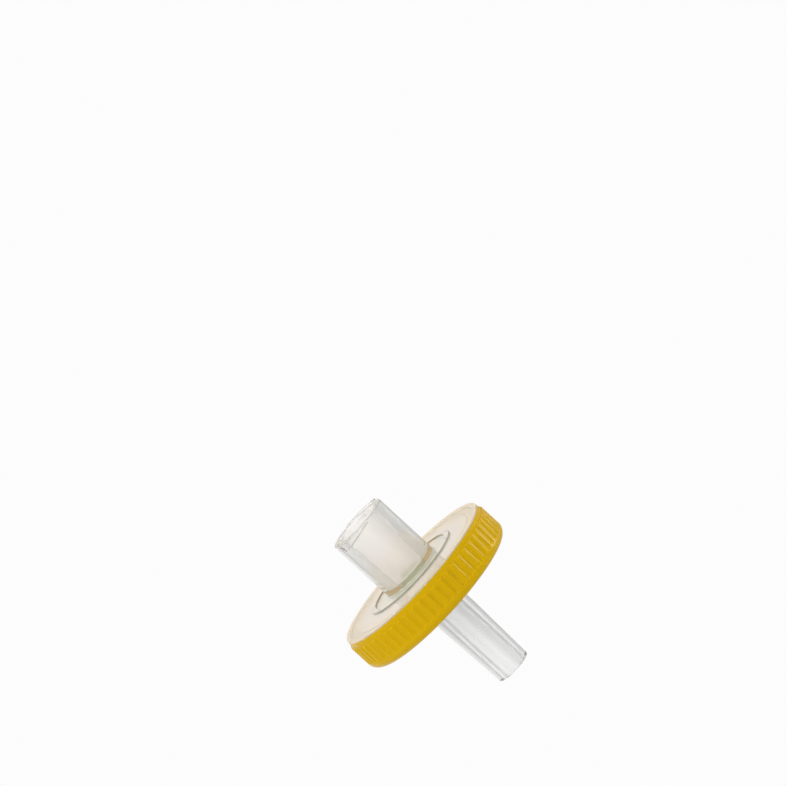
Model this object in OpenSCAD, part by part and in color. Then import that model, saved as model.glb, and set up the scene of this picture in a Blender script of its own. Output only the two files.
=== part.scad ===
// Syringe filter: two clear shells with a membrane disc between them, sealed
// at the rim by a ribbed overmoulded ring. The female Luer-lock inlet points
// down and its mouth is the plane z = 0; the male Luer outlet points up.

/* [Luer inlet hub] */
// Outside diameter of the hub
hub_d = 6.7; // [6.4:0.05:7]
// Height of the hub over the inlet face
hub_len = 7.55; // [7.4:0.05:9]
// Diameter of the tapered bore at its mouth
mouth_d = 4.29; // [4.27:0.01:4.31]
// Depth of the tapered bore
bore_depth = 7.2; // [6.5:0.1:7.8]
// Chamfer at the bore's mouth
mouth_chamfer = 0.2; // [0.1:0.05:0.3]
// Diameter of the channel from the bore to the membrane
inlet_channel_d = 2.4; // [1.6:0.1:3]
// Fillet between the hub and the inlet face
hub_fillet = 0.15; // [0.1:0.05:0.4]

/* [Luer lock lugs] */
// Diameter across the two lugs
lug_d = 7.8; // [7.6:0.02:7.84]
// Thickness of a lug where it meets the hub, midway along it
lug_base_t = 0.6; // [0.5:0.02:0.8]
// Thickness of a lug at its crest, midway along it
lug_crest_t = 0.38; // [0.3:0.02:0.5]
// Angle that each lug spans round the hub
lug_span = 64; // [50:1:90]
// Lead of the right-hand lock thread
lug_lead = 5; // [4.5:0.1:5.5]

/* [Inlet shell] */
// Diameter of both shells and the membrane under the ring
shell_d = 18.1; // [17:0.1:20]
// Thickness of the flange that covers the ring's front
flange_t = 0.2; // [0.15:0.05:0.4]
// How far the flange's edge lies inside the ring's smooth band
flange_inset = 0.02; // [0:0.01:0.1]
// Thickness of the inlet plate
plate_t = 1.2; // [1:0.05:1.6]
// Height of the space over the membrane
plenum_h = 0.3; // [0.2:0.05:0.5]
// Width of the land that clamps the membrane's edge
land_w = 1.05; // [0.8:0.05:1.6]
// Outside diameter of the raised ring on the inlet face
ridge_d = 11.4; // [10:0.1:13]
// Width of the raised ring
ridge_w = 0.65; // [0.4:0.05:1]
// Height of the raised ring
ridge_h = 0.15; // [0.1:0.05:0.4]

/* [Membrane] */
// Thickness of the membrane
membrane_t = 0.2; // [0.1:0.05:0.4]

/* [Outlet shell] */
// Depth of the drain space under the membrane
drain_h = 0.4; // [0.3:0.05:0.6]
// Thickness of the outlet shell's floor
floor_t = 1.4; // [1:0.05:2]
// Width of each circular support rib
support_w = 0.3; // [0.2:0.05:0.4]
// Spacing of the circular support ribs
support_pitch = 0.85; // [0.7:0.05:1.2]
// Number of radial drain channels through the support ribs
channel_count = 8; // [4:1:12]
// Width of each radial drain channel
channel_w = 0.6; // [0.4:0.05:0.8]

/* [Luer outlet tip] */
// Diameter of the tip at its open end
tip_d = 3.99; // [3.93:0.01:4]
// Length of the tip past the ring's back
tip_len = 10.45; // [9:0.05:12]
// Length of the tapered part of the tip
tip_taper_len = 7.5; // [7.5:0.1:8.5]
// Diameter of the outlet bore
tip_bore_d = 2.1; // [1.6:0.1:2.6]
// Fillet between the tip and the shell
tip_fillet = 0.45; // [0.2:0.05:0.8]
// Chamfer round the tip's open end
tip_chamfer = 0.12; // [0.05:0.01:0.2]

/* [Grip ring] */
// Thickness of the ring from the shells to the rib crests
ring_wall = 0.75; // [0.65:0.05:1]
// Thickness of the lip that holds the outlet shell
back_lip_t = 0.6; // [0.4:0.05:0.9]
// Width of that lip over the outlet shell
back_lip_w = 0.75; // [0.5:0.05:1]
// Radius of the ring's round back edge
back_round = 0.95; // [0.6:0.05:1.1]
// Length of the smooth band in front of the ribs
front_band = 0.7; // [0.5:0.05:0.9]
// Number of ribs round the ring
rib_count = 60; // [40:1:72]
// Height of the ribs over the bottom of the grooves
rib_h = 0.16; // [0.1:0.02:0.2]
// Width of the groove between two ribs
groove_w = 0.74; // [0.6:0.02:0.76]

/* [Hidden] */
$fn = 96;

// Overlap of shapes that are joined, and overrun of cutting tools
eps = 0.01;
// Chamfer on the small outer edges
edge = 0.08;
// Luer taper: the diameter changes by 6 percent of the length
luer_taper = 0.06;
// How far the smooth front band lies below the bottom of the grooves
band_drop = 0.05;
// How far a lug's root reaches into the hub's wall
lug_root = 0.4;
// The channels flare to this many times their width over a quarter of it
flare = 1.5;

// Heights of the faces, from the mouth of the hub upwards
face_z = hub_len;
roof_z = face_z + plate_t;
membrane_z = roof_z + plenum_h;
support_z = membrane_z + membrane_t;
drain_z = support_z + drain_h;
floor_z = drain_z + floor_t;
ring_back_z = floor_z + back_lip_t;
tip_z = ring_back_z + tip_len;

// Radii of the inlet, the shells and the tip
hub_r = hub_d / 2;
mouth_r = mouth_d / 2;
bore_end_r = mouth_r - luer_taper / 2 * bore_depth;
shell_r = shell_d / 2;
active_r = shell_r - land_w;
tip_r = tip_d / 2;
tip_root_r = tip_r + luer_taper / 2 * tip_taper_len;

// The ring: its grooves are arcs in section and end where the back edge rounds
ring_r = shell_r + ring_wall;
band_r = ring_r - rib_h - band_drop;
flange_r = band_r - flange_inset;
back_lip_r = shell_r - back_lip_w;
groove_r = (pow(groove_w / 2, 2) + pow(rib_h, 2)) / (2 * rib_h);
groove_at = ring_r - rib_h + groove_r;
groove_end_z = ring_back_z - back_round - groove_w / 2;

// Half section of a band from radius r0 to r1 and height z0 to z1, whose lower
// outer corner is cut by c
module band(r0, r1, z0, z1, c = 0) {
    polygon([[r0, z0], [r1 - c, z0], [r1, z0 + c], [r1, z1], [r0, z1]]);
}

// Half section of a fillet of radius f outside radius r, above height z where
// side is 1 and below it where side is -1
module fillet(r, z, f, side) {
    difference() {
        translate([r - eps, side > 0 ? z - eps : z - f])
            square(f + eps);
        translate([r + f, z + side * f])
            circle(f);
    }
}

// One lug of the lock thread, centred on +X, tilted to the thread's lead and
// cut flush with the mouth
module lug() {
    tilt = atan(lug_lead / (PI * lug_d));
    flank = (lug_base_t - lug_crest_t) / (lug_d / 2 - hub_r);
    difference() {
        rotate([tilt, 0, 0])
            rotate([0, 0, -lug_span / 2])
                rotate_extrude(angle = lug_span)
                    polygon([
                        [hub_r - lug_root, -lug_lead / 4], [lug_d / 2, -lug_lead / 4],
                        [lug_d / 2, lug_crest_t], [hub_r - lug_root, lug_base_t + flank * lug_root]
                    ]);
        translate([0, 0, -lug_lead])
            cylinder(d = 2 * lug_d, h = lug_lead);
    }
}

// Half section of the inlet shell with its hub, flange and raised ring
module inlet_profile() {
    ridge_r = ridge_d / 2;
    ridge_z = face_z - ridge_h;
    band(0, hub_r, 0, face_z + eps, edge);
    fillet(hub_r, face_z, hub_fillet, -1);
    band(0, flange_r, face_z, face_z + flange_t, edge);
    band(0, shell_r, face_z + eps, roof_z);
    band(active_r, shell_r, roof_z - eps, membrane_z);
    polygon([
        [ridge_r - ridge_w, face_z + eps], [ridge_r - ridge_w, ridge_z + edge],
        [ridge_r - ridge_w + edge, ridge_z], [ridge_r - edge, ridge_z],
        [ridge_r, ridge_z + edge], [ridge_r, face_z + eps]
    ]);
}

// The tapered bore, its chamfered mouth and the flared channel to the membrane
module inlet_bore() {
    flare_h = inlet_channel_d / 4;
    cylinder(r1 = mouth_r, r2 = bore_end_r, h = bore_depth);
    cylinder(r1 = mouth_r + mouth_chamfer, r2 = mouth_r - luer_taper / 2 * mouth_chamfer,
             h = mouth_chamfer);
    cylinder(d = inlet_channel_d, h = roof_z + eps);
    translate([0, 0, roof_z - flare_h])
        cylinder(d1 = inlet_channel_d, d2 = flare * inlet_channel_d, h = flare_h + eps);
}

module inlet_housing() {
    color([0.88, 0.89, 0.87, 0.45])
        difference() {
            union() {
                rotate_extrude() inlet_profile();
                for (turn = [90, 270])
                    rotate([0, 0, turn]) lug();
            }
            inlet_bore();
        }
}

module membrane() {
    color([0.96, 0.95, 0.93])
        translate([0, 0, membrane_z])
            cylinder(r = shell_r, h = membrane_t);
}

// Circular ribs that hold the membrane off the drain, cut by radial channels
module support_ribs() {
    first_r = tip_bore_d / 2 + support_pitch;
    last_r = active_r - 2 * support_w;
    difference() {
        translate([0, 0, support_z])
            for (r = [first_r : support_pitch : last_r])
                difference() {
                    cylinder(r = r + support_w, h = drain_h + eps);
                    translate([0, 0, -eps])
                        cylinder(r = r, h = drain_h + 3 * eps);
                }
        for (i = [0 : channel_count - 1])
            rotate([0, 0, i * 360 / channel_count])
                translate([0, -channel_w / 2, support_z - eps])
                    cube([active_r, channel_w, drain_h + eps]);
    }
}

// Half section of the outlet shell with its tip
module outlet_profile() {
    band(0, shell_r, drain_z, floor_z);
    band(active_r, shell_r, support_z, drain_z + eps);
    fillet(tip_root_r, floor_z, tip_fillet, 1);
    polygon([
        [0, floor_z - eps], [tip_root_r, floor_z - eps], [tip_root_r, tip_z - tip_taper_len],
        [tip_r + luer_taper / 2 * tip_chamfer, tip_z - tip_chamfer],
        [tip_r - tip_chamfer, tip_z], [0, tip_z]
    ]);
}

// The outlet bore, with a flared mouth at the drain
module outlet_bore() {
    translate([0, 0, drain_z - eps]) {
        cylinder(d = tip_bore_d, h = tip_z - drain_z + 2 * eps);
        cylinder(d1 = flare * tip_bore_d, d2 = tip_bore_d, h = tip_bore_d / 4);
    }
}

module outlet_housing() {
    color([0.88, 0.88, 0.90, 0.45])
        difference() {
            union() {
                rotate_extrude() outlet_profile();
                support_ribs();
            }
            outlet_bore();
        }
}

// Half section of the ring, which backs the flange and laps the outlet shell
module ring_profile() {
    front_z = face_z + flange_t;
    rib_z = face_z + front_band;
    round_z = ring_back_z - back_round;
    difference() {
        union() {
            band(shell_r - eps, band_r, front_z, rib_z + eps, edge);
            band(back_lip_r, ring_r, rib_z, round_z, ring_r - band_r - edge);
            band(back_lip_r, ring_r - back_round, round_z - eps, ring_back_z);
            intersection() {
                translate([ring_r - back_round, round_z])
                    circle(back_round);
                translate([ring_r - back_round - eps, round_z - eps])
                    square(back_round + 2 * eps);
            }
        }
        translate([0, face_z])
            square([shell_r, floor_z - face_z]);
    }
}

// Tool for one groove: round at its back end, open over the front band
module groove() {
    start_z = face_z + front_band - groove_r;
    translate([groove_at, 0, start_z])
        cylinder(r = groove_r, h = groove_end_z - start_z);
    translate([groove_at, 0, groove_end_z])
        sphere(r = groove_r);
}

module grip_ring() {
    color([0.80, 0.62, 0.03])
        difference() {
            rotate_extrude() ring_profile();
            for (i = [0 : rib_count - 1])
                rotate([0, 0, i * 360 / rib_count]) groove();
        }
}

inlet_housing();
membrane();
outlet_housing();
grip_ring();
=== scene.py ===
"""Looks of a clear syringe filter with a ribbed yellow ring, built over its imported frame."""

import logging
import math
from dataclasses import dataclass
from enum import Enum
from typing import Sequence

import bmesh
import bpy
from mathutils import Matrix, Vector


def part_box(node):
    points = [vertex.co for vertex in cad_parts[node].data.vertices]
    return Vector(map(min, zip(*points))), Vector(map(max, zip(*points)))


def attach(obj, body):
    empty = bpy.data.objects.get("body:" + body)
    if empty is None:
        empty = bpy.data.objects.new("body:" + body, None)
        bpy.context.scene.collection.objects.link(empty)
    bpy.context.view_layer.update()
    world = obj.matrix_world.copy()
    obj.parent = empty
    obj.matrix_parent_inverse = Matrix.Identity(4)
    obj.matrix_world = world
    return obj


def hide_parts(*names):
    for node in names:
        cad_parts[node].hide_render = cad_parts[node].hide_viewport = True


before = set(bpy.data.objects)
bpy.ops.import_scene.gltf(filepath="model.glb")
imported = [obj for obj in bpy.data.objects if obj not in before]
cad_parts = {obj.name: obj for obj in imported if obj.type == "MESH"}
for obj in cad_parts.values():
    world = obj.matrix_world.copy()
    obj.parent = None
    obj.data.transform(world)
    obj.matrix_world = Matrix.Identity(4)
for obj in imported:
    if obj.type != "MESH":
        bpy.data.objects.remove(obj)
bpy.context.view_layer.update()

LOG = logging.getLogger("syringe_filter")

Colour = tuple[float, float, float]

MM = 0.001
BODY = "root"
AXIS = (0.0, 0.0, 1.0)
CENTRE = (0.0, 0.0, 0.0)
WHITE = (1.0, 1.0, 1.0, 1.0)

# Distance in millimetres under which two points of a mesh are one.
MERGE = 1e-4

# A height in millimetres above the whole object, for a zone that a moulding doesn't have.
ABOVE_ALL = 100.0

# A Luer cone narrows by 6 percent in diameter, so by 3 percent in radius.
LUER_SLOPE = 0.03

# Roundings of moulded edges, in millimetres.
KEEN = 0.02
SHARP = 0.03
CRISP = 0.04
FINE = 0.05
EASED = 0.08
SOFT = 0.10
BROAD = 0.20


class Slot(Enum):
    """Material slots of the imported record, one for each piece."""

    INLET = "clear_inlet_shell"
    MEMBRANE = "white_membrane"
    OUTLET = "clear_outlet_shell"
    RING = "yellow_ring"


class Node(Enum):
    """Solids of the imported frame."""

    INLET = "inlet_housing"
    MEMBRANE = "membrane"
    OUTLET = "outlet_housing"
    RING = "grip_ring"


class Joining(Enum):
    """Ways to combine two closed meshes."""

    ADD = "UNION"
    CUT = "DIFFERENCE"


# ---------------------------------------------------------------------------
# Finishes
# ---------------------------------------------------------------------------


class Graph:
    """Node tree of one finish, or of the surroundings, while it is put together."""

    def __init__(self, owner: bpy.types.Material | bpy.types.World) -> None:
        """Empties the node tree.

        Args:
            owner: The material or world that has the tree.
        """
        owner.use_nodes = True
        self.tree = owner.node_tree
        self.tree.nodes.clear()

    def node(self, kind: str, **settings: object) -> bpy.types.Node:
        """Adds a node.

        Args:
            kind: Blender's name for the node type.
            **settings: Attributes of the node to set.

        Returns:
            The new node.
        """
        made = self.tree.nodes.new(kind)
        for key, value in settings.items():
            setattr(made, key, value)
        return made

    def put(self, source: object, node: bpy.types.Node, socket: str | int) -> None:
        """Links an output to an input, or sets the input's own value.

        Args:
            source: An output socket, a number or a colour.
            node: The node that receives it.
            socket: Name or place of the input.
        """
        target = node.inputs[socket]
        if isinstance(source, bpy.types.NodeSocket):
            self.tree.links.new(source, target)
        else:
            target.default_value = source

    def object_coordinates(self) -> bpy.types.NodeSocket:
        """Returns the piece's own coordinates, in metres."""
        return self.node("ShaderNodeTexCoord").outputs["Object"]

    def noise(self, size_mm: float, detail: float = 2.0) -> bpy.types.NodeSocket:
        """Adds a noise over the piece.

        Args:
            size_mm: Size of the noise's features.
            detail: Levels of finer noise on top.

        Returns:
            The noise's value, from 0 to 1.
        """
        made = self.node("ShaderNodeTexNoise")
        self.put(self.object_coordinates(), made, "Vector")
        self.put(1.0 / (size_mm * MM), made, "Scale")
        self.put(detail, made, "Detail")
        return made.outputs["Fac"]

    def spread(
        self,
        value: bpy.types.NodeSocket,
        low: float,
        high: float,
        ends: tuple[float, float] = (0.3, 0.7),
        curve: str = "LINEAR",
    ) -> bpy.types.NodeSocket:
        """Maps a range of values onto other numbers.

        Args:
            value: The value, which is a noise where no ends are given.
            low: Result at the lower end.
            high: Result at the upper end.
            ends: Where the value's range starts and stops, which is a noise's usual range by default.
            curve: Blender's name for the way between the ends.

        Returns:
            The mapped value.
        """
        made = self.node("ShaderNodeMapRange", interpolation_type=curve)
        for socket, number in zip(("From Min", "From Max", "To Min", "To Max"), (*ends, low, high)):
            self.put(number, made, socket)
        self.put(value, made, "Value")
        return made.outputs["Result"]

    def maths(self, operation: str, *terms: object) -> bpy.types.NodeSocket:
        """Adds a calculation.

        Args:
            operation: Blender's name for it.
            *terms: Numbers or output sockets, in order.

        Returns:
            Its result.
        """
        made = self.node("ShaderNodeMath", operation=operation)
        for place, term in enumerate(terms):
            self.put(term, made, place)
        return made.outputs[0]

    def lerp(self, share: bpy.types.NodeSocket, first: object, second: object) -> bpy.types.NodeSocket:
        """Mixes two numbers.

        Args:
            share: How much of the second number counts.
            first: A number or an output socket.
            second: A number or an output socket.

        Returns:
            The mixed number.
        """
        made = self.node("ShaderNodeMix", data_type="FLOAT")
        self.put(share, made, "Factor")
        self.put(first, made, "A")
        self.put(second, made, "B")
        return made.outputs[0]

    def reach(self) -> bpy.types.NodeSocket:
        """Returns the distance from the axis, in metres."""
        flat = self.node("ShaderNodeVectorMath", operation="MULTIPLY")
        self.put(self.object_coordinates(), flat, 0)
        self.put((1.0, 1.0, 0.0), flat, 1)
        length = self.node("ShaderNodeVectorMath", operation="LENGTH")
        self.put(flat.outputs["Vector"], length, 0)
        return length.outputs["Value"]

    def inner(self, inside_mm: float, outside_mm: float) -> bpy.types.NodeSocket:
        """Marks the part of a piece near the axis.

        Args:
            inside_mm: Distance from the axis up to which the mark is 1.
            outside_mm: Distance from which it is 0.

        Returns:
            The mark.
        """
        return self.spread(self.reach(), 1.0, 0.0, (inside_mm * MM, outside_mm * MM))

    def hoop(self, radius_mm: float, half_width_mm: float) -> bpy.types.NodeSocket:
        """Marks a thin hoop round the axis.

        Args:
            radius_mm: Radius of the hoop.
            half_width_mm: Half of its width.

        Returns:
            The mark.
        """
        return self.maths("COMPARE", self.reach(), radius_mm * MM, half_width_mm * MM)

    def upper(self, below_mm: float, above_mm: float) -> bpy.types.NodeSocket:
        """Marks the upper part of a piece.

        Args:
            below_mm: Height up to which the mark is 0.
            above_mm: Height from which it is 1.

        Returns:
            The mark.
        """
        apart = self.node("ShaderNodeSeparateXYZ")
        self.put(self.object_coordinates(), apart, 0)
        return self.spread(apart.outputs["Z"], 0.0, 1.0, (below_mm * MM, above_mm * MM))

    def blend(
        self,
        share: bpy.types.NodeSocket,
        first: Sequence[float] | bpy.types.NodeSocket,
        second: Sequence[float] | bpy.types.NodeSocket,
    ) -> bpy.types.NodeSocket:
        """Mixes two colours.

        Args:
            share: How much of the second colour shows.
            first: Linear red, green and blue, or an output socket.
            second: Linear red, green and blue, or an output socket.

        Returns:
            The mixed colour.
        """
        made = self.node("ShaderNodeMix", data_type="RGBA")
        self.put(share, made, "Factor")
        for colour, socket in ((first, "A"), (second, "B")):
            self.put(colour if isinstance(colour, bpy.types.NodeSocket) else (*colour, 1.0), made, socket)
        return next(output for output in made.outputs if output.type == "RGBA")

    def bump(self, height: bpy.types.NodeSocket, depth_mm: float) -> bpy.types.NodeSocket:
        """Adds relief.

        Args:
            height: Height of the relief, from 0 to 1.
            depth_mm: Its depth.

        Returns:
            The surface's normal.
        """
        made = self.node("ShaderNodeBump")
        self.put(1.0, made, "Strength")
        self.put(depth_mm * MM, made, "Distance")
        self.put(height, made, "Height")
        return made.outputs["Normal"]

    def choose(
        self,
        share: bpy.types.NodeSocket,
        first: bpy.types.NodeSocket,
        second: bpy.types.NodeSocket,
    ) -> bpy.types.NodeSocket:
        """Mixes two shaders.

        Args:
            share: How much of the second shader shows.
            first: A shader.
            second: A shader.

        Returns:
            The mixed shader.
        """
        made = self.node("ShaderNodeMixShader")
        for place, source in enumerate((share, first, second)):
            self.put(source, made, place)
        return made.outputs["Shader"]

    def show(self, surface: bpy.types.NodeSocket, volume: bpy.types.NodeSocket | None = None) -> None:
        """Gives a material its shaders.

        Args:
            surface: Shader of its surface.
            volume: Shader of what is inside it, if that isn't empty.
        """
        out = self.node("ShaderNodeOutputMaterial")
        self.put(surface, out, "Surface")
        if volume is not None:
            self.put(volume, out, "Volume")


@dataclass(frozen=True)
class ClearPlastic:
    """Clear moulding with fine waves, a milky bore, and painted light and shade where it backs onto the
    membrane.

    Colours are linear red, green and blue, and sizes are in millimetres. Heights are above the hub's mouth,
    and distances are from the axis.

    Attributes:
        name: Name of the finish.
        bore_mm: Distance up to which the plastic is the wall of a bore.
        bore_haze: Roughness of the bore's wall.
        bore_clearness: Share of light that the bore's wall lets through.
        bore_tint: Colour of the bore's wall.
        pale: Colour on one side of the waves.
        cool: Colour on their other side.
        clearness: Share of light that the rest lets through.
        depth_tint: Colour that light takes on in the depth of the plastic.
        depth_density: How fast it takes that on, per metre.
        ior: Refractive index.
        wave_mm: Size of the waves.
        wave_depth_mm: Depth of the waves.
        grain_mm: Size of the grain in the gloss.
        polished: Roughness where the grain is smoothest.
        hazed: Roughness where it is roughest.
        backed_above_mm: Height above which the plate backs onto the membrane.
        backed_clearness: Share of light that the plate's back lets through.
        backed: Colour of the plate's back.
        rim: Painted yellow glow on the plate's back near its rim, standing in for light that comes through
            the ring.
        rim_glow_mm: Distances between which the back's colour turns into the painted yellow glow.
        ring_light_mm: Distance up to which the back has the painted yellowish light.
        ring_light: Painted yellowish light on the back inside the raised ring.
        hub_shade_mm: Distance up to which the back has the painted greenish shade.
        hub_shade: Painted greenish shade on the back behind the hub.
        bore_floor_shade_above_mm: Height from which the floor of the hub's bore has painted greenish shade.
        bore_floor_shade_mm: Distance up to which it has that painted shade.
        bore_floor_shade: Painted greenish shade on the floor of the hub's bore.
        shade_hoops_mm: Distances at which the raised ring's walls show as thin hoops of painted shade.
        shade_hoop_half_mm: Half of a hoop's width.
        hoop_shade: Colour of the painted shade in the hoops.
        bore_fade_mm: Width over which the bore's wall turns into the rest.
        tint_fade_mm: Width over which one painted tint of the back turns into the next.
        zone_fade_mm: Width over which the back and the painted shade on the bore's floor start.
        lamp_tint: Colour of the lamps' light that has gone through the plastic.
    """

    name: str
    bore_mm: float
    bore_haze: float
    bore_clearness: float
    bore_tint: Colour
    pale: Colour = (0.985, 0.985, 0.98)
    cool: Colour = (0.97, 0.972, 0.97)
    clearness: float = 0.86
    depth_tint: tuple[float, float, float, float] = (0.60, 0.62, 0.56, 1.0)
    depth_density: float = 45.0
    ior: float = 1.5
    wave_mm: float = 2.2
    wave_depth_mm: float = 0.002
    grain_mm: float = 0.25
    polished: float = 0.015
    hazed: float = 0.035
    backed_above_mm: float = ABOVE_ALL
    backed_clearness: float = 0.30
    backed: Colour = (0.98, 0.84, 0.70)
    rim: Colour = (0.98, 0.78, 0.40)
    rim_glow_mm: tuple[float, float] = (6.6, 8.8)
    ring_light_mm: float = 4.9
    ring_light: Colour = (0.86, 0.78, 0.60)
    hub_shade_mm: float = 3.3
    hub_shade: Colour = (0.64, 0.64, 0.46)
    bore_floor_shade_above_mm: float = ABOVE_ALL
    bore_floor_shade_mm: float = 1.95
    bore_floor_shade: Colour = (0.60, 0.63, 0.42)
    shade_hoops_mm: tuple[float, ...] = ()
    shade_hoop_half_mm: float = 0.05
    hoop_shade: Colour = (0.45, 0.48, 0.42)
    bore_fade_mm: float = 0.05
    tint_fade_mm: float = 0.3
    zone_fade_mm: float = 0.03
    lamp_tint: tuple[float, float, float, float] = (0.97, 0.97, 0.96, 1.0)

    def back_colour_and_painted_light(self, graph: Graph, on_bore_floor_shade: bpy.types.NodeSocket) -> bpy.types.NodeSocket:
        """Colours the plate's back, and paints light and shade on it in zones round the axis: a yellow glow
        near the rim, yellowish light inside the raised ring, and greenish shade behind the hub and on the
        floor of its bore.

        Args:
            graph: The finish's node tree.
            on_bore_floor_shade: Mark of the painted shade on the floor of the hub's bore.

        Returns:
            The colour.
        """
        # Painted light: a yellow glow near the rim, over the back's own colour.
        colour = graph.blend(graph.inner(*self.rim_glow_mm), self.rim, self.backed)
        # Painted yellowish light inside the raised ring, then painted greenish shade behind the hub.
        for reach_mm, tint in ((self.ring_light_mm, self.ring_light), (self.hub_shade_mm, self.hub_shade)):
            zone = graph.inner(reach_mm, reach_mm + self.tint_fade_mm)
            colour = graph.blend(zone, colour, tint)
        # Painted greenish shade on the floor of the hub's bore.
        return graph.blend(on_bore_floor_shade, colour, self.bore_floor_shade)

    def moulding(self, graph: Graph) -> bpy.types.NodeSocket:
        """Makes the plastic's surface.

        Args:
            graph: The finish's node tree.

        Returns:
            The shader.
        """
        grain = graph.noise(self.grain_mm, detail=3.0)
        waves = graph.noise(self.wave_mm, detail=1.0)
        in_bore = graph.inner(self.bore_mm, self.bore_mm + self.bore_fade_mm)
        # Masks of the painted shade on the bore's floor, and of the plate's back, which takes painted light
        # and shade.
        in_bore_floor_shade = graph.inner(self.bore_floor_shade_mm, self.bore_floor_shade_mm + self.zone_fade_mm)
        over_bore_floor_shade = graph.upper(self.bore_floor_shade_above_mm, self.bore_floor_shade_above_mm + self.zone_fade_mm)
        on_bore_floor_shade = graph.lerp(over_bore_floor_shade, 0.0, in_bore_floor_shade)
        over_back = graph.upper(self.backed_above_mm, self.backed_above_mm + self.zone_fade_mm)
        on_back = graph.lerp(on_bore_floor_shade, over_back, 1.0)
        colour = graph.blend(in_bore, graph.blend(waves, self.pale, self.cool), self.bore_tint)
        # The back's own colour with its painted light and shade.
        colour = graph.blend(on_back, colour, self.back_colour_and_painted_light(graph, on_bore_floor_shade))
        # Thin hoops of painted shade at the raised ring's walls.
        for radius_mm in self.shade_hoops_mm:
            colour = graph.blend(graph.hoop(radius_mm, self.shade_hoop_half_mm), colour, self.hoop_shade)
        gloss = graph.spread(grain, self.polished, self.hazed)
        clear = graph.lerp(in_bore, self.clearness, self.bore_clearness)
        surface = graph.node("ShaderNodeBsdfPrincipled")
        graph.put(colour, surface, "Base Color")
        graph.put(graph.lerp(in_bore, gloss, self.bore_haze), surface, "Roughness")
        graph.put(self.ior, surface, "IOR")
        graph.put(graph.lerp(on_back, clear, self.backed_clearness), surface, "Transmission Weight")
        graph.put(graph.bump(waves, self.wave_depth_mm), surface, "Normal")
        return surface.outputs["BSDF"]

    def material(self) -> bpy.types.Material:
        """Returns the node material, which lets the lamps' light through."""
        made = bpy.data.materials.new(self.name)
        graph = Graph(made)
        through = graph.node("ShaderNodeBsdfTransparent")
        graph.put(self.lamp_tint, through, "Color")
        path = graph.node("ShaderNodeLightPath")
        depth = graph.node("ShaderNodeVolumeAbsorption")
        graph.put(self.depth_tint, depth, "Color")
        graph.put(self.depth_density, depth, "Density")
        surface = graph.choose(path.outputs["Is Shadow Ray"], self.moulding(graph), through.outputs["BSDF"])
        graph.show(surface, depth.outputs["Volume"])
        return made


@dataclass(frozen=True)
class MembraneSheet:
    """Matte filter membrane with a fine fibrous face."""

    name: str
    pale: Colour = (0.95, 0.90, 0.84)
    deep: Colour = (0.92, 0.86, 0.80)
    fibre_mm: float = 0.06
    cloud_mm: float = 1.6
    fibre_depth_mm: float = 0.012
    smooth: float = 0.82
    dull: float = 0.98
    shine: float = 0.25

    def material(self) -> bpy.types.Material:
        """Returns the node material."""
        made = bpy.data.materials.new(self.name)
        graph = Graph(made)
        fibres = graph.noise(self.fibre_mm, detail=4.0)
        clouds = graph.noise(self.cloud_mm, detail=2.0)
        surface = graph.node("ShaderNodeBsdfPrincipled")
        graph.put(graph.blend(clouds, self.pale, self.deep), surface, "Base Color")
        graph.put(graph.spread(fibres, self.smooth, self.dull), surface, "Roughness")
        graph.put(graph.bump(fibres, self.fibre_depth_mm), surface, "Normal")
        graph.put(self.shine, surface, "Specular IOR Level")
        graph.show(surface.outputs["BSDF"])
        return made


@dataclass(frozen=True)
class RingPlastic:
    """Satin moulded plastic in golden yellow, slightly translucent at its edges."""

    name: str
    body: Colour = (0.62, 0.385, 0.001)
    deep: Colour = (0.60, 0.365, 0.0008)
    cloud_mm: float = 3.0
    grain_mm: float = 0.09
    grain_depth_mm: float = 0.002
    smooth: float = 0.20
    dull: float = 0.28
    ior: float = 1.49
    shine: float = 0.065
    glow: float = 0.12
    glow_spread: tuple[float, float, float] = (1.0, 0.8, 0.2)
    glow_mm: float = 0.3

    def material(self) -> bpy.types.Material:
        """Returns the node material."""
        made = bpy.data.materials.new(self.name)
        graph = Graph(made)
        clouds = graph.noise(self.cloud_mm, detail=2.0)
        grain = graph.noise(self.grain_mm, detail=3.0)
        surface = graph.node("ShaderNodeBsdfPrincipled")
        graph.put(graph.blend(clouds, self.body, self.deep), surface, "Base Color")
        graph.put(graph.spread(grain, self.smooth, self.dull), surface, "Roughness")
        graph.put(graph.bump(grain, self.grain_depth_mm), surface, "Normal")
        graph.put(self.ior, surface, "IOR")
        graph.put(self.shine, surface, "Specular IOR Level")
        graph.put(self.glow, surface, "Subsurface Weight")
        graph.put(self.glow_spread, surface, "Subsurface Radius")
        graph.put(self.glow_mm * MM, surface, "Subsurface Scale")
        graph.show(surface.outputs["BSDF"])
        return made


# ---------------------------------------------------------------------------
# Modelling helpers
# ---------------------------------------------------------------------------


def new_object(name: str, data: bpy.types.ID) -> bpy.types.Object:
    """Adds an object to the scene.

    Args:
        name: Its name.
        data: Its mesh, lamp or camera.

    Returns:
        The object, at the origin.
    """
    made = bpy.data.objects.new(name, data)
    bpy.context.scene.collection.objects.link(made)
    return made


def new_mesh(name: str, bm: bmesh.types.BMesh) -> bpy.types.Mesh:
    """Turns a mesh that is being modelled into a kept one.

    Args:
        name: Its name.
        bm: The mesh, which is freed.

    Returns:
        The kept mesh.
    """
    made = bpy.data.meshes.new(name)
    bm.to_mesh(made)
    bm.free()
    return made


def turn(bm: bmesh.types.BMesh, verts: Sequence[bmesh.types.BMVert], angle: float, axis: str = "Z") -> None:
    """Turns points about an axis through the origin.

    Args:
        bm: The mesh.
        verts: The points.
        angle: Angle in radians.
        axis: X, Y or Z.
    """
    bmesh.ops.rotate(bm, verts=verts, cent=CENTRE, matrix=Matrix.Rotation(angle, 3, axis))


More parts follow.
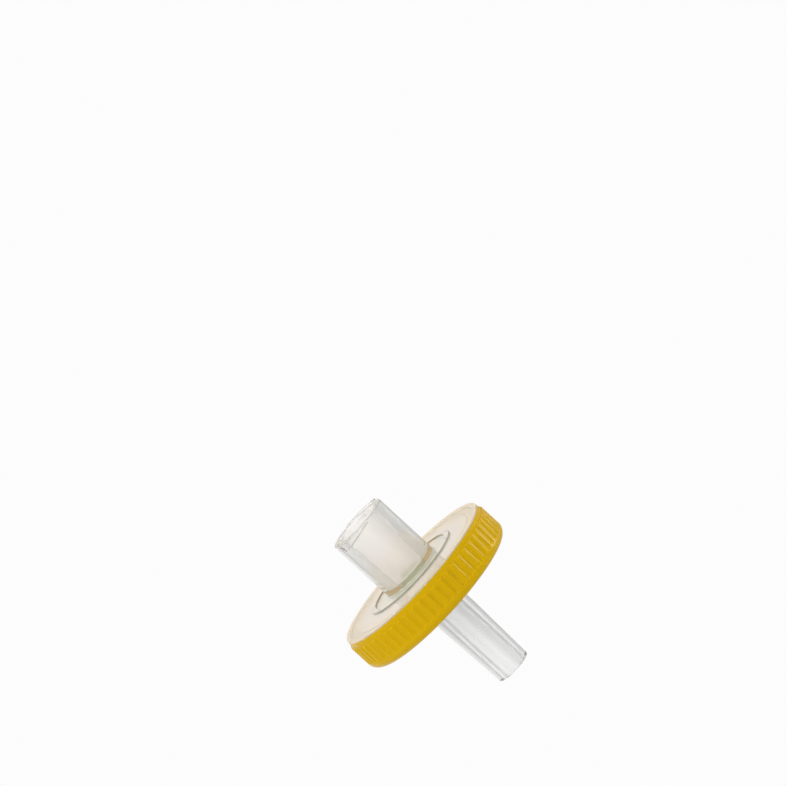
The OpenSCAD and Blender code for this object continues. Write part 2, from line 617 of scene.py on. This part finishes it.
def settled(bm: bmesh.types.BMesh) -> bmesh.types.BMesh:
    """Lays a mesh anew, ordered by place.

    Bevel, spin and Boolean leave edges and faces in an order that differs from run to run, and the order
    decides how later steps merge and cut.

    Args:
        bm: The mesh, which is freed.

    Returns:
        The same mesh in an order that is the same in each run.
    """
    points = sorted(bm.verts, key=lambda point: (point.co.z, point.co.x, point.co.y))
    for at, point in enumerate(points):
        point.index = at
    fresh = bmesh.new()
    verts = [fresh.verts.new(point.co) for point in points]
    for first, second in sorted(sorted(point.index for point in edge.verts) for edge in bm.edges):
        fresh.edges.new((verts[first], verts[second]))
    rounds = [[point.index for point in face.verts] for face in bm.faces]
    lowest = [around.index(min(around)) for around in rounds]
    for around in sorted(around[at:] + around[:at] for around, at in zip(rounds, lowest)):
        fresh.faces.new([verts[at] for at in around])
    bm.free()
    return fresh


def without_seams(bm: bmesh.types.BMesh) -> bmesh.types.BMesh:
    """Merges the points at seams and poles, and turns all faces outwards.

    Args:
        bm: The mesh, which is freed.

    Returns:
        The closed mesh.
    """
    bmesh.ops.remove_doubles(bm, verts=bm.verts, dist=MERGE)
    bmesh.ops.recalc_face_normals(bm, faces=bm.faces)
    return settled(bm)


@dataclass(frozen=True)
class Corner:
    """One corner of a turned section: its radius and height in millimetres, and its rounding."""

    r: float
    z: float
    rounding: float = 0.0
    segments: int = 3


@dataclass(frozen=True)
class Section:
    """Section of a turned piece, in millimetres, listed round its outline."""

    corners: tuple[Corner, ...]
    closed: bool = True

    def wire(self) -> bmesh.types.BMesh:
        """Returns the outline with its corners rounded."""
        bm = bmesh.new()
        points = [bm.verts.new((c.r, 0.0, c.z)) for c in self.corners]
        for first, second in zip(points, points[1:]):
            bm.edges.new((first, second))
        if self.closed:
            bm.edges.new((points[-1], points[0]))
        for corner, point in zip(self.corners, list(points)):
            if corner.rounding > 0.0:
                bmesh.ops.bevel(
                    bm,
                    geom=[point],
                    offset=self.setback(corner),
                    offset_type="OFFSET",
                    segments=corner.segments,
                    profile=0.5,
                    affect="VERTICES",
                    clamp_overlap=True,
                    material=-1,
                )
        return settled(bm)

    def setback(self, corner: Corner) -> float:
        """Distance from a corner at which its rounding starts.

        Args:
            corner: The corner.

        Returns:
            The distance along both edges, for an arc of the corner's radius.
        """
        at = self.corners.index(corner)
        count = len(self.corners)
        here = Vector((corner.r, corner.z))
        before, after = self.corners[at - 1], self.corners[(at + 1) % count]
        one = (Vector((before.r, before.z)) - here).normalized()
        two = (Vector((after.r, after.z)) - here).normalized()
        half = one.angle(two) / 2.0
        return corner.rounding / math.tan(half)

    def turned(self, steps: int, angle: float = math.tau) -> bmesh.types.BMesh:
        """Turns the section about Z.

        Args:
            steps: Steps round the turn.
            angle: Angle of the turn, which is centred on +X where it isn't a full one.

        Returns:
            The surface, with its seam and its poles closed.
        """
        bm = self.wire()
        full = math.isclose(angle, math.tau)
        turn(bm, bm.verts, 0.0 if full else -angle / 2.0)
        bmesh.ops.spin(
            bm,
            geom=bm.verts[:] + bm.edges[:],
            cent=CENTRE,
            axis=AXIS,
            dvec=CENTRE,
            angle=angle,
            steps=steps,
            use_merge=full,
            use_duplicate=False,
        )
        return without_seams(bm)


def combined(base: bmesh.types.BMesh, tool: bmesh.types.BMesh, joining: Joining) -> bmesh.types.BMesh:
    """Joins two closed meshes, or cuts one with the other.

    Args:
        base: The mesh that is kept, which is freed.
        tool: The mesh that is added or taken away, which is freed.
        joining: Whether the tool is added or cut away.

    Returns:
        The result.
    """
    body, other = (new_object(name, new_mesh(name, bm)) for name, bm in (("base", base), ("tool", tool)))
    boolean = body.modifiers.new("combine", "BOOLEAN")
    boolean.operation = joining.value
    boolean.solver = "EXACT"
    boolean.object = other
    bpy.context.view_layer.update()
    graph = bpy.context.evaluated_depsgraph_get()
    result = bmesh.new()
    result.from_mesh(body.evaluated_get(graph).to_mesh())
    for used in (body, other):
        mesh = used.data
        bpy.data.objects.remove(used)
        bpy.data.meshes.remove(mesh)
    bmesh.ops.remove_doubles(result, verts=result.verts, dist=MERGE)
    return settled(result)


@dataclass(frozen=True)
class Piece:
    """A finished piece of the model: its name, the solid it stands for and its finish."""

    name: str
    node: Node
    slot: Slot
    crease_deg: float = 28.0

    def place(self, bm: bmesh.types.BMesh, finish: bpy.types.Material) -> bpy.types.Object:
        """Makes the object and hangs it on the frame.

        Args:
            bm: The mesh in millimetres, which is freed.
            finish: Its material.

        Returns:
            The object, at the origin, unturned and unscaled.
        """
        bmesh.ops.scale(bm, vec=(MM, MM, MM), verts=bm.verts)
        for face in bm.faces:
            face.smooth = True
        mesh = new_mesh(self.name, bm)
        mesh.set_sharp_from_angle(angle=math.radians(self.crease_deg))
        mesh.materials.append(finish)
        made = new_object(self.name, mesh)
        shading = made.modifiers.new("shading", "WEIGHTED_NORMAL")
        shading.keep_sharp = True
        shading.weight = 100
        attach(made, BODY)
        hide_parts(self.node.value)
        LOG.info("%s: %d faces, stands for %s", self.name, len(mesh.polygons), self.node.value)
        return made


def level(node: Node, top: bool) -> float:
    """Height of a solid's lowest or highest point.

    Args:
        node: The solid.
        top: True for the highest point.

    Returns:
        The height in millimetres.
    """
    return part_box(node.value)[1 if top else 0].z / MM


def radius(node: Node) -> float:
    """Returns a solid's largest radius in millimetres."""
    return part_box(node.value)[1].x / MM


# ---------------------------------------------------------------------------
# Sub-assemblies
# ---------------------------------------------------------------------------


@dataclass
class InletShell:
    """Clear inlet moulding: face plate, raised ring and Luer-lock hub. Sizes in millimetres."""

    steps: int = 256
    hub_r: float = 3.35
    face_z: float = 7.55
    mouth_r: float = 2.145
    bore_end_r: float = 1.929
    bore_depth: float = 7.2
    mouth_chamfer: float = 0.2
    channel_r: float = 1.2
    flare: float = 1.5
    flare_h: float = 0.6
    hub_fillet: float = 0.15
    flange_t: float = 0.2
    plate_t: float = 1.2
    ridge_outer_r: float = 5.7
    ridge_inner_r: float = 5.05
    ridge_h: float = 0.15
    active_r: float = 8.0
    lug_r: float = 3.9
    lug_base_t: float = 0.6
    lug_crest_t: float = 0.38
    lug_span_deg: float = 64.0
    lug_lead: float = 5.0
    lug_root: float = 0.4
    lug_round: float = 0.06
    lug_steps: int = 48
    lug_turns_deg: tuple[float, float] = (90.0, 270.0)
    gap: float = 0.012

    def section(self) -> Section:
        """Returns the section of the plate, the hub and the bore."""
        face = self.face_z
        roof = face + self.plate_t
        ridge = face - self.ridge_h
        flange_r = radius(Node.INLET)
        shell_r = radius(Node.MEMBRANE) - self.gap
        land = level(Node.INLET, top=True)
        return Section(
            (
                Corner(self.mouth_r + self.mouth_chamfer, 0.0, SHARP),
                Corner(self.hub_r, 0.0, EASED),
                Corner(self.hub_r, face, self.hub_fillet, 6),
                Corner(self.ridge_inner_r, face, SHARP),
                Corner(self.ridge_inner_r, ridge, FINE),
                Corner(self.ridge_outer_r, ridge, FINE),
                Corner(self.ridge_outer_r, face, SHARP),
                Corner(flange_r - self.gap, face, EASED),
                Corner(flange_r - self.gap, face + self.flange_t - self.gap, CRISP),
                Corner(shell_r, face + self.flange_t - self.gap, SHARP),
                Corner(shell_r, land, FINE),
                Corner(self.active_r, land, FINE),
                Corner(self.active_r, roof, SOFT),
                Corner(self.flare * self.channel_r, roof, FINE),
                Corner(self.channel_r, roof - self.flare_h, BROAD),
                Corner(self.channel_r, self.bore_depth, FINE),
                Corner(self.bore_end_r, self.bore_depth, SOFT),
                Corner(self.mouth_r - LUER_SLOPE * self.mouth_chamfer, self.mouth_chamfer, CRISP),
            )
        )

    def lug(self, turn_deg: float) -> bmesh.types.BMesh:
        """Makes one lug of the lock thread.

        Args:
            turn_deg: Where it sits round the hub.

        Returns:
            The lug as a closed mesh, flush with the mouth.
        """
        root_r = self.hub_r - self.lug_root
        flank = (self.lug_base_t - self.lug_crest_t) / (self.lug_r - self.hub_r)
        below = -self.lug_lead / 4.0
        outline = Section(
            (
                Corner(root_r, below),
                Corner(self.lug_r, below),
                Corner(self.lug_r, self.lug_crest_t, self.lug_round, 4),
                Corner(root_r, self.lug_base_t + flank * self.lug_root),
            )
        )
        bm = outline.turned(self.lug_steps, math.radians(self.lug_span_deg))
        bmesh.ops.holes_fill(bm, edges=[edge for edge in bm.edges if edge.is_boundary])
        bmesh.ops.recalc_face_normals(bm, faces=bm.faces)
        turn(bm, bm.verts, math.atan(self.lug_lead / (math.tau * self.lug_r)), "X")
        cut = bmesh.ops.bisect_plane(
            bm,
            geom=bm.verts[:] + bm.edges[:] + bm.faces[:],
            plane_co=CENTRE,
            plane_no=AXIS,
            clear_inner=True,
        )
        rim = [part for part in cut["geom_cut"] if isinstance(part, bmesh.types.BMEdge)]
        bmesh.ops.holes_fill(bm, edges=rim)
        bmesh.ops.recalc_face_normals(bm, faces=bm.faces)
        turn(bm, bm.verts, math.radians(turn_deg))
        return settled(bm)

    def build(self, finish: bpy.types.Material) -> None:
        """Makes the shell with both lugs.

        Args:
            finish: Its clear plastic.
        """
        bm = self.section().turned(self.steps)
        for turn_deg in self.lug_turns_deg:
            bm = combined(bm, self.lug(turn_deg), Joining.ADD)
        Piece("inlet_shell", Node.INLET, Slot.INLET).place(bm, finish)


@dataclass
class MembraneDisc:
    """White membrane, pressed thinner where the shells clamp its edge. Sizes in millimetres."""

    steps: int = 192
    active_r: float = 8.0
    gap: float = 0.012
    pressed: float = 0.03

    def build(self, finish: bpy.types.Material) -> None:
        """Makes the disc.

        Args:
            finish: Its matte white.
        """
        low = level(Node.MEMBRANE, top=False) + self.gap
        high = level(Node.MEMBRANE, top=True) - self.gap
        edge_r = radius(Node.MEMBRANE) - 2.0 * self.gap
        press = self.pressed
        outline = Section(
            (
                Corner(0.0, low),
                Corner(self.active_r - 2.0 * press, low, SOFT),
                Corner(self.active_r, low + press, SOFT),
                Corner(edge_r, low + press, KEEN),
                Corner(edge_r, high - press, KEEN),
                Corner(self.active_r, high - press, SOFT),
                Corner(self.active_r - 2.0 * press, high, SOFT),
                Corner(0.0, high),
            ),
            closed=False,
        )
        Piece("membrane_disc", Node.MEMBRANE, Slot.MEMBRANE).place(outline.turned(self.steps), finish)


@dataclass
class OutletShell:
    """Clear outlet moulding: drain with support ribs, and the Luer tip. Sizes in millimetres."""

    steps: int = 256
    active_r: float = 8.0
    drain_h: float = 0.4
    floor_t: float = 1.4
    tip_r: float = 1.995
    tip_root_r: float = 2.22
    tip_taper_len: float = 7.5
    tip_blend: float = 3.0
    tip_fillet: float = 0.45
    tip_round: float = 0.12
    bore_r: float = 1.05
    flare: float = 1.5
    support_w: float = 0.3
    support_pitch: float = 0.85
    support_root: float = 0.02
    channels: int = 8
    channel_w: float = 0.6
    channel_end: float = 0.1
    gap: float = 0.012

    def section(self) -> Section:
        """Returns the section of the rim, the floor and the tip."""
        rim = level(Node.OUTLET, top=False)
        drain = rim + self.drain_h
        floor = drain + self.floor_t
        tip = level(Node.OUTLET, top=True)
        shell_r = radius(Node.OUTLET) - self.gap
        return Section(
            (
                Corner(self.flare * self.bore_r, drain, FINE),
                Corner(self.active_r, drain, EASED),
                Corner(self.active_r, rim, FINE),
                Corner(shell_r, rim, FINE),
                Corner(shell_r, floor - self.gap, FINE),
                Corner(self.tip_root_r, floor - self.gap, self.tip_fillet, 6),
                Corner(self.tip_root_r, tip - self.tip_taper_len, self.tip_blend),
                Corner(self.tip_r, tip, self.tip_round, 4),
                Corner(self.bore_r, tip, EASED),
                Corner(self.bore_r, drain + self.bore_r / 2.0, BROAD),
            )
        )

    def support_ribs(self) -> bmesh.types.BMesh:
        """Returns the circular ribs under the membrane, cut by the radial channels."""
        rim = level(Node.OUTLET, top=False)
        foot = rim + self.drain_h + self.support_root
        ribs = bmesh.new()
        inner_r = self.bore_r + self.support_pitch
        while inner_r <= self.active_r - 2.0 * self.support_w:
            outer_r = inner_r + self.support_w
            outline = Section(
                (
                    Corner(inner_r, rim, FINE),
                    Corner(outer_r, rim, FINE),
                    Corner(outer_r, foot),
                    Corner(inner_r, foot),
                )
            )
            mesh = new_mesh("support_rib", outline.turned(self.steps // 2))
            ribs.from_mesh(mesh)
            bpy.data.meshes.remove(mesh)
            inner_r += self.support_pitch
        return combined(ribs, self.channel_cutters(rim + self.drain_h), Joining.CUT)

    def channel_cutters(self, height: float) -> bmesh.types.BMesh:
        """Makes the blocks that cut the radial channels.

        Args:
            height: Height of their middle.

        Returns:
            The blocks.
        """
        cutters = bmesh.new()
        start = self.bore_r + 0.5 * self.support_pitch
        end = self.active_r - self.channel_end
        for place in range(self.channels):
            block = bmesh.ops.create_cube(cutters, size=1.0)["verts"]
            bmesh.ops.scale(cutters, vec=(end - start, self.channel_w, 1.0), verts=block)
            bmesh.ops.translate(cutters, vec=((end + start) / 2.0, 0.0, height), verts=block)
            turn(cutters, block, math.tau * place / self.channels)
        return cutters

    def build(self, finish: bpy.types.Material) -> None:
        """Makes the shell with its ribs.

        Args:
            finish: Its clear plastic.
        """
        bm = combined(self.section().turned(self.steps), self.support_ribs(), Joining.ADD)
        Piece("outlet_shell", Node.OUTLET, Slot.OUTLET).place(bm, finish)


@dataclass
class GripRing:
    """Ribbed ring over the rim of both shells. Sizes in millimetres."""

    ribs: int = 60
    steps_per_rib: int = 24
    shell_r: float = 9.05
    flange_t: float = 0.2
    front_band: float = 0.7
    band_r: float = 9.59
    back_lip_t: float = 0.6
    back_lip_r: float = 8.3
    lip_round: float = 0.12
    back_round: float = 0.95
    rib_h: float = 0.16
    groove_w: float = 0.74
    edge: float = 0.08
    soften: float = 0.025
    run_out_rows: int = 7
    row_slack: float = 1e-3
    crease_deg: float = 40.0

    def ribs_start(self) -> float:
        """Returns the height at which the ribs start, behind the smooth front band."""
        return level(Node.RING, top=False) - self.flange_t + self.front_band

    def straight_end(self) -> float:
        """Returns the height at which the grooves start to run out."""
        return level(Node.RING, top=True) - self.back_round - self.groove_w / 2.0

    def section(self) -> Section:
        """Returns the section through a rib's crest."""
        ring_r = radius(Node.RING)
        front, back = level(Node.RING, top=False), level(Node.RING, top=True)
        rib_z = self.ribs_start()
        lip = back - self.back_lip_t
        chamfer = ring_r - self.band_r - self.edge
        straight_end = self.straight_end()
        run_out = self.groove_w / 2.0
        rows = [
            Corner(ring_r, straight_end + run_out * math.sin(math.pi / 2.0 * at / self.run_out_rows))
            for at in range(self.run_out_rows)
        ]
        return Section(
            (
                Corner(self.shell_r, front),
                Corner(self.band_r, front, self.edge, 4),
                Corner(self.band_r, rib_z, SHARP, 2),
                Corner(self.band_r + self.edge, rib_z, SHARP, 2),
                Corner(ring_r, rib_z + chamfer, EASED, 4),
                *rows,
                Corner(ring_r, back, self.back_round, 12),
                Corner(self.back_lip_r, back, self.lip_round, 4),
                Corner(self.back_lip_r, lip, CRISP, 2),
                Corner(self.shell_r, lip),
            )
        )

    def groove_radius(self) -> float:
        """Returns the radius of the round tool that cuts a groove."""
        return ((self.groove_w / 2.0) ** 2 + self.rib_h**2) / (2.0 * self.rib_h)

    def cut_groove(self, bm: bmesh.types.BMesh) -> None:
        """Sinks one groove into the middle of a sector, run out at its back end.

        Args:
            bm: The sector, centred on +X.
        """
        groove_r = self.groove_radius()
        axis_r = radius(Node.RING) - self.rib_h + groove_r
        start = self.ribs_start() - self.row_slack
        straight_end = self.straight_end()
        for vert in bm.verts:
            reach = math.hypot(vert.co.x, vert.co.y)
            if vert.co.z < start or reach < self.band_r:
                continue
            past = max(0.0, vert.co.z - straight_end)
            here_r = math.sqrt(max(0.0, groove_r**2 - past**2))
            if vert.co.y**2 >= here_r**2:
                continue
            floor = axis_r - math.sqrt(here_r**2 - vert.co.y**2)
            fade = 0.5 * (reach + floor) - 0.5 * math.hypot(reach - floor, self.soften)
            share = max(fade, 0.0) / reach
            vert.co.x *= share
            vert.co.y *= share

    def build(self, finish: bpy.types.Material) -> bpy.types.Object:
        """Makes the ring from one sector, repeated round the axis.

        Args:
            finish: Its yellow plastic.

        Returns:
            The ring's object.
        """
        pitch = math.tau / self.ribs
        bm = self.section().turned(self.steps_per_rib, pitch)
        self.cut_groove(bm)
        bmesh.ops.spin(
            bm,
            geom=bm.verts[:] + bm.edges[:] + bm.faces[:],
            cent=CENTRE,
            axis=AXIS,
            dvec=CENTRE,
            angle=math.tau - pitch,
            steps=self.ribs - 1,
            use_merge=False,
            use_duplicate=True,
        )
        return Piece("ribbed_ring", Node.RING, Slot.RING, self.crease_deg).place(without_seams(bm), finish)


# ---------------------------------------------------------------------------
# Studio
# ---------------------------------------------------------------------------


@dataclass(frozen=True)
class Lamp:
    """One lamp: its strength, the side that it stands on, its apparent size, and whether it is for glints.

    A lamp for glints shines on the satin pieces alone and shows in their gloss. The others light everything
    softly and show in no gloss.
    """

    name: str
    strength: float
    azimuth_deg: float
    elevation_deg: float
    size_deg: float
    glints: bool = False


@dataclass
class Studio:
    """Camera, lamps, surroundings and floor.

    The surroundings that gloss and clear plastic show are white panels with greyer gaps between them. Both
    they and the even light fall off a little towards one side. Distances without _mm are in metres.
    """

    azimuth_deg: float = -19.0
    elevation_deg: float = -11.0
    roll_deg: float = 132.5
    distance: float = 0.5
    clip_start: float = 0.001
    sensor_mm: float = 36.0
    view_mm: float = 80.2
    aim_height_mm: float = 11.05
    aim_offset_mm: tuple[float, float] = (4.36, -20.64)
    ambient: float = 0.86
    backdrop: float = 0.975
    panels: int = 4
    panel_at_deg: float = 52.0
    panel_edges: tuple[float, float] = (-0.7, 0.3)
    between: float = 0.58
    light_dim: float = 0.12
    panel_dim: float = 0.2
    dim_at_deg: float = 161.0
    lamp_plan: tuple[Lamp, ...] = (
        Lamp("key", 0.4, 30.0, -5.0, 110.0),
        Lamp("rim", 0.7, -126.0, 12.0, 8.0, glints=True),
        Lamp("fill", 1.0, -19.0, -68.0, 90.0),
    )
    floor_size: float = 3.0
    floor_white: tuple[float, float, float, float] = (0.90, 0.90, 0.90, 1.0)

    def direction(self, azimuth_deg: float, elevation_deg: float) -> Vector:
        """Direction from the object towards a place round it.

        Args:
            azimuth_deg: Angle round Z, where 0 is in front, at -Y.
            elevation_deg: Angle above the floor.

        Returns:
            The unit vector.
        """
        a, e = math.radians(azimuth_deg), math.radians(elevation_deg)
        return Vector((math.sin(a) * math.cos(e), -math.cos(a) * math.cos(e), math.sin(e)))

    def camera(self) -> None:
        """Places the camera, rolled so that the outlet points down to the right."""
        data = bpy.data.cameras.new("camera")
        data.sensor_width = self.sensor_mm
        data.lens = self.sensor_mm * self.distance / (self.view_mm * MM)
        data.clip_start = self.clip_start
        back = self.direction(self.azimuth_deg, self.elevation_deg)
        upright = (-back).to_track_quat("-Z", "Y")
        rolled = upright @ Matrix.Rotation(math.radians(self.roll_deg), 3, "Z").to_quaternion()
        right, up = (offset * MM / self.distance for offset in self.aim_offset_mm)
        ray = Vector((right, up, -1.0)).normalized()
        made = new_object("camera", data)
        made.location = Vector((0.0, 0.0, self.aim_height_mm * MM)) + back * self.distance
        made.rotation_mode = "QUATERNION"
        made.rotation_quaternion = rolled @ ray.rotation_difference(Vector((0.0, 0.0, -1.0)))
        bpy.context.scene.camera = made

    def glow(self, graph: Graph, strength: bpy.types.NodeSocket | float) -> bpy.types.NodeSocket:
        """Makes white light.

        Args:
            graph: The surroundings' node tree.
            strength: How bright it is.

        Returns:
            The shader.
        """
        made = graph.node("ShaderNodeBackground")
        graph.put(WHITE, made, "Color")
        graph.put(strength, made, "Strength")
        return made.outputs["Background"]

    def dimmed(
        self,
        graph: Graph,
        around: bpy.types.NodeSocket,
        strength: bpy.types.NodeSocket | float,
        share: float,
    ) -> bpy.types.NodeSocket:
        """Lets a strength fall off gently towards the dim side.

        Args:
            graph: The surroundings' node tree.
            around: Angle round Z.
            strength: The strength on the bright side.
            share: How much of it is lost on the dim side.

        Returns:
            The strength.
        """
        swing = graph.maths("COSINE", graph.maths("SUBTRACT", around, math.radians(self.dim_at_deg)))
        left = graph.maths("MULTIPLY_ADD", swing, -share / 2.0, 1.0 - share / 2.0)
        return graph.maths("MULTIPLY", left, strength)

    def panel_strength(self, graph: Graph, around: bpy.types.NodeSocket) -> bpy.types.NodeSocket:
        """Sets white panels round the object.

        Args:
            graph: The surroundings' node tree.
            around: Angle round Z.

        Returns:
            The strength, which is lower in the gaps between the panels.
        """
        offset = -self.panels * math.radians(self.panel_at_deg)
        wave = graph.maths("COSINE", graph.maths("MULTIPLY_ADD", around, self.panels, offset))
        return graph.spread(wave, self.between, self.backdrop, self.panel_edges, "SMOOTHSTEP")

    def surroundings(self) -> None:
        """Gives an even soft light, and a white backdrop with panels for gloss and clear plastic."""
        world = bpy.data.worlds.new("studio")
        bpy.context.scene.world = world
        graph = Graph(world)
        apart = graph.node("ShaderNodeSeparateXYZ")
        graph.put(graph.node("ShaderNodeTexCoord").outputs["Generated"], apart, 0)
        around = graph.maths("ARCTAN2", apart.outputs["Y"], apart.outputs["X"])
        light = self.glow(graph, self.dimmed(graph, around, self.ambient, self.light_dim))
        panel_strength = self.panel_strength(graph, around)
        panels = self.glow(graph, self.dimmed(graph, around, panel_strength, self.panel_dim))
        white = self.glow(graph, self.backdrop)
        path = graph.node("ShaderNodeLightPath")
        shown = light
        for ray, seen in (
            ("Is Transmission Ray", panels),
            ("Is Glossy Ray", panels),
            ("Is Camera Ray", white),
        ):
            shown = graph.choose(path.outputs[ray], shown, seen)
        graph.put(shown, graph.node("ShaderNodeOutputWorld"), "Surface")

    def lamps(self, glinting: Sequence[bpy.types.Object]) -> None:
        """Adds the lamps.

        Args:
            glinting: The satin pieces, on which alone a lamp for glints shines.
        """
        for lamp in self.lamp_plan:
            data = bpy.data.lights.new(lamp.name, "SUN")
            data.energy = lamp.strength
            data.angle = math.radians(lamp.size_deg)
            data.cycles.use_multiple_importance_sampling = False
            made = new_object(lamp.name, data)
            made.visible_glossy = lamp.glints
            made.visible_transmission = False
            if lamp.glints:
                lit = bpy.data.collections.new(f"{lamp.name}_lit")
                made.light_linking.receiver_collection = lit
                for piece in glinting:
                    lit.objects.link(piece)
            towards = self.direction(lamp.azimuth_deg, lamp.elevation_deg)
            made.rotation_mode = "QUATERNION"
            made.rotation_quaternion = (-towards).to_track_quat("-Z", "Y")
            made.location = towards * self.distance

    def floor(self) -> None:
        """Lays the pale floor, which keeps the object's shadow and is clear from below."""
        finish = bpy.data.materials.new("floor_white")
        graph = Graph(finish)
        diffuse = graph.node("ShaderNodeBsdfDiffuse")
        graph.put(self.floor_white, diffuse, "Color")
        clear = graph.node("ShaderNodeBsdfTransparent")
        below = graph.node("ShaderNodeNewGeometry").outputs["Backfacing"]
        graph.show(graph.choose(below, diffuse.outputs["BSDF"], clear.outputs["BSDF"]))
        bm = bmesh.new()
        bmesh.ops.create_grid(bm, x_segments=1, y_segments=1, size=self.floor_size)
        mesh = new_mesh("floor", bm)
        mesh.materials.append(finish)
        made = new_object("floor", mesh)
        made.visible_diffuse = False
        made.visible_glossy = False
        made.visible_transmission = False
        made.visible_shadow = False

    def build(self, glinting: Sequence[bpy.types.Object]) -> None:
        """Sets up the whole studio.

        Args:
            glinting: The satin pieces, on which alone a lamp for glints shines.
        """
        bpy.context.scene.view_settings.view_transform = "Standard"
        self.camera()
        self.surroundings()
        self.lamps(glinting)
        self.floor()


def main() -> None:
    """Builds the filter's pieces in their studio."""
    logging.basicConfig(level=logging.INFO, format="%(name)s: %(message)s")
    inlet_plastic = ClearPlastic(
        "clear_inlet_plastic",
        bore_mm=2.6,
        bore_haze=0.30,
        bore_clearness=0.60,
        bore_tint=(0.99, 0.95, 0.925),
        # The plate's back, with its painted light and shade, starts at 7.7 mm, the painted shade on the
        # bore's floor at 7.25 mm, and hoops of painted shade sit at the raised ring's walls.
        backed_above_mm=7.7,
        bore_floor_shade_above_mm=7.25,
        shade_hoops_mm=(5.05, 5.7),
    )
    InletShell().build(inlet_plastic.material())
    MembraneDisc().build(MembraneSheet("white_membrane_sheet").material())
    outlet_plastic = ClearPlastic(
        "clear_outlet_plastic",
        bore_mm=1.7,
        bore_haze=0.12,
        bore_clearness=0.68,
        bore_tint=(0.99, 0.99, 1.0),
    )
    OutletShell().build(outlet_plastic.material())
    ring = GripRing().build(RingPlastic("golden_ring_plastic").material())
    Studio().build([ring])


if __name__ == "__main__":
    main()
